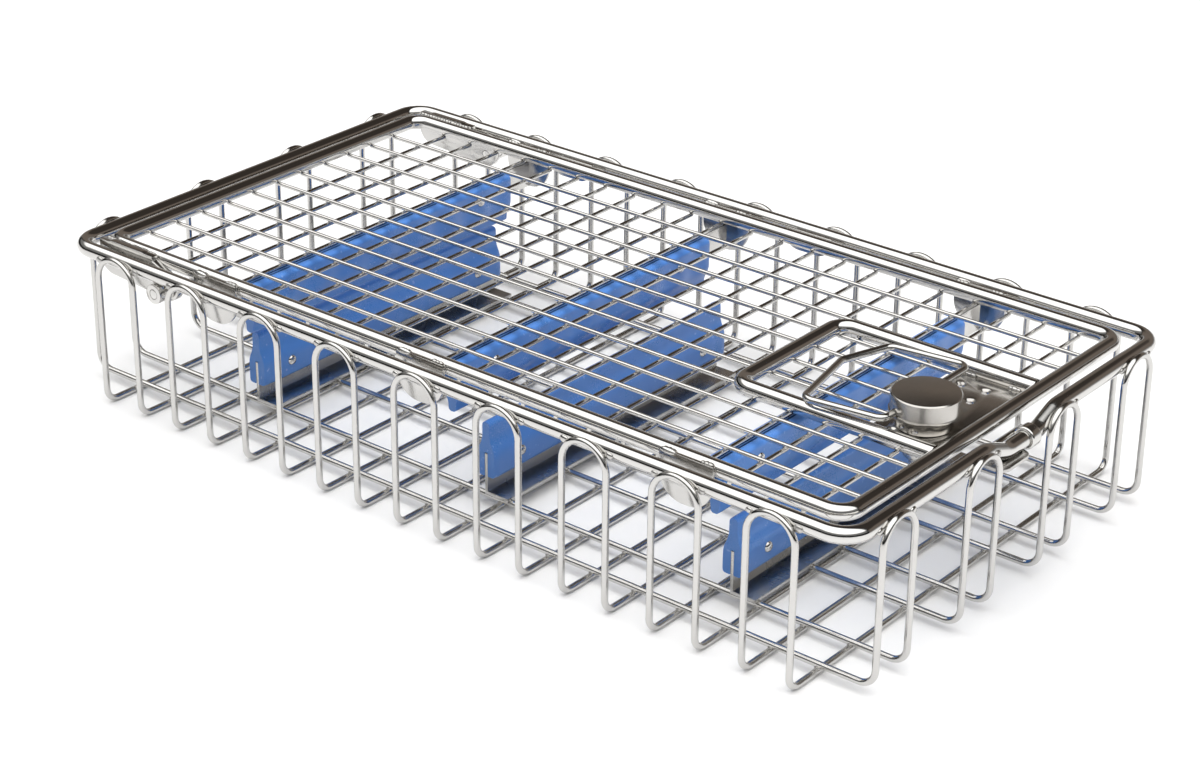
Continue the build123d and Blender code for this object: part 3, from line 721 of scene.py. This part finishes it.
# %% Rivets of the silicone bars
def rivet_shape(name):
    """A pan-head rivet along X: two domed heads on a shank, as (radius, x) turned round X."""
    profile = [(0.0, 7.3), (0.9, 7.25), (1.8, 7.0), (2.4, 6.5), (2.7, 5.9), (2.7, 5.65), (1.5, 5.6)]
    full = profile + [(r, -x) for r, x in reversed(profile)]
    sides = 16
    turns = [2 * math.pi * k / sides for k in range(sides)]
    work = bmesh.new()
    rings = []
    for r, x in full:
        if r == 0.0:
            rings.append([work.verts.new((x * MM, 0, 0))])
        else:
            rings.append([work.verts.new((x * MM, r * MM * math.cos(t), r * MM * math.sin(t))) for t in turns])
    for a, b in zip(rings, rings[1:]):
        for k in range(sides):
            corners = [a[k % len(a)], a[(k + 1) % len(a)], b[(k + 1) % len(b)], b[k % len(b)]]
            unique = list(dict.fromkeys(corners))
            if len(unique) > 2:
                work.faces.new(unique)
    bmesh.ops.recalc_face_normals(work, faces=work.faces)
    mesh = bpy.data.meshes.new(name)
    work.to_mesh(mesh)
    work.free()
    return bpy.data.objects.new(name, mesh)


rivet = rivet_shape("rivet")
RIVET_Y = 71.0
lower_points = [(x, s * RIVET_Y, LOWER_LOW + 8.5) for x in lower_x for s in (-1, 1)]
upper_points = [(x, s * RIVET_Y, UPPER_TOP - 7.0) for x in upper_x for s in (-1, 1)]
set_on_points("lower_rivet_set", rivet, lower_points, rod_steel,
              "basket", "polished_steel", 0.0, "lower_rivets")
set_on_points("upper_rivet_set", rivet, upper_points, rod_steel,
              "lid", "polished_steel", 0.0, "upper_rivets")
print("rivets", len(lower_points) + len(upper_points))

# %% [markdown]
# The table is plain and pale. The world is the studio: a bright softbox above
# and on the near side, and a dim far wall, so polished steel shows the white
# and black bands that it has in a real studio. The camera sees white.

# %% Floor
TABLE_HALF = 6
TABLE_Z = -0.0003


def floor_finish():
    mat, sh = material("pale_table")
    haze = sh.noise(3.0, 2.0)
    seen = sh.node("ShaderNodeLightPath")
    bounced = sh.mix(haze * 0.3, (0.84, 0.84, 0.845), (0.80, 0.80, 0.81))
    colour = sh.mix(seen, bounced, (0.93, 0.93, 0.93))
    sh.surface(sh.node("ShaderNodeBsdfPrincipled", Base_Color=colour, Roughness=0.6))
    return mat


floor_mesh = bpy.data.meshes.new("table_top")
floor_corners = [(x * TABLE_HALF, y * TABLE_HALF, TABLE_Z) for x, y in ((-1, -1), (1, -1), (1, 1), (-1, 1))]
floor_mesh.from_pydata(floor_corners, [], [(0, 1, 2, 3)])
floor = bpy.data.objects.new("table_top", floor_mesh)
bpy.context.collection.objects.link(floor)
floor_mesh.materials.append(floor_finish())

# %% Studio world
world = bpy.data.worlds.new("studio")
bpy.context.scene.world = world
world.use_nodes = True
ws = Shader(world.node_tree)
direction = ws.node("ShaderNodeTexCoord")
split = ws.node("ShaderNodeSeparateXYZ", Vector=direction).socket.node
wy, wz = (Socket(world.node_tree, split.outputs[name]) for name in "YZ")
near_side = 1 - wy.step(0.24, 0.38)
box_light = near_side * (wz.step(0.50, 0.66) * 1.6 + wz.step(0.20, 0.34) * 0.22)
far_side = wy.step(0.34, 0.46)
sweep = far_side * (1 - wz.step(0.04, 0.16)) * 0.35
wall = far_side * (1 - wz.step(0.44, 0.60)) * 0.14
dim = far_side * 0.035
level = box_light + sweep + wall + dim + 0.01
warmth = far_side * wz.step(0.08, 0.25)
seen = ws.node("ShaderNodeLightPath")
strength = seen * (1 - level) + level
tint = ws.mix(warmth * (1 - seen), (1.0, 0.995, 0.985), (1.0, 0.83, 0.70))
back = ws.node("ShaderNodeBackground", Color=tint, Strength=strength)
ws.surface(back, "ShaderNodeOutputWorld")


# %% Lamps
def softbox(name, place, aim, size, power):
    lamp = bpy.data.lights.new(name, "AREA")
    lamp.shape = "RECTANGLE"
    lamp.size, lamp.size_y = size
    lamp.energy = power
    obj = bpy.data.objects.new(name, lamp)
    obj.location = place
    obj.rotation_euler = (Vector(aim) - Vector(place)).to_track_quat("-Z", "Y").to_euler()
    obj.visible_glossy = False
    bpy.context.collection.objects.link(obj)


softbox("top_softbox", (0.1, 0.0, 1.7), (0.0, 0.0, 0.0), (2.4, 2.0), 21.0)
softbox("right_softbox", (1.5, 0.4, 0.9), (0.1, 0.0, 0.05), (1.2, 0.8), 5.0)

# %% Camera
camera_data = bpy.data.cameras.new("camera")
camera_data.sensor_width = 36.0
camera_data.lens = 82.907
camera_data.clip_start = 0.05
camera = bpy.data.objects.new("camera", camera_data)
camera.location = (0.7710756, -0.9538426, 0.6296054)
camera.rotation_euler = (1.11701643, -0.00987505, 0.68353403)
bpy.context.collection.objects.link(camera)
bpy.context.scene.camera = camera
bpy.context.scene.view_settings.view_transform = "Standard"
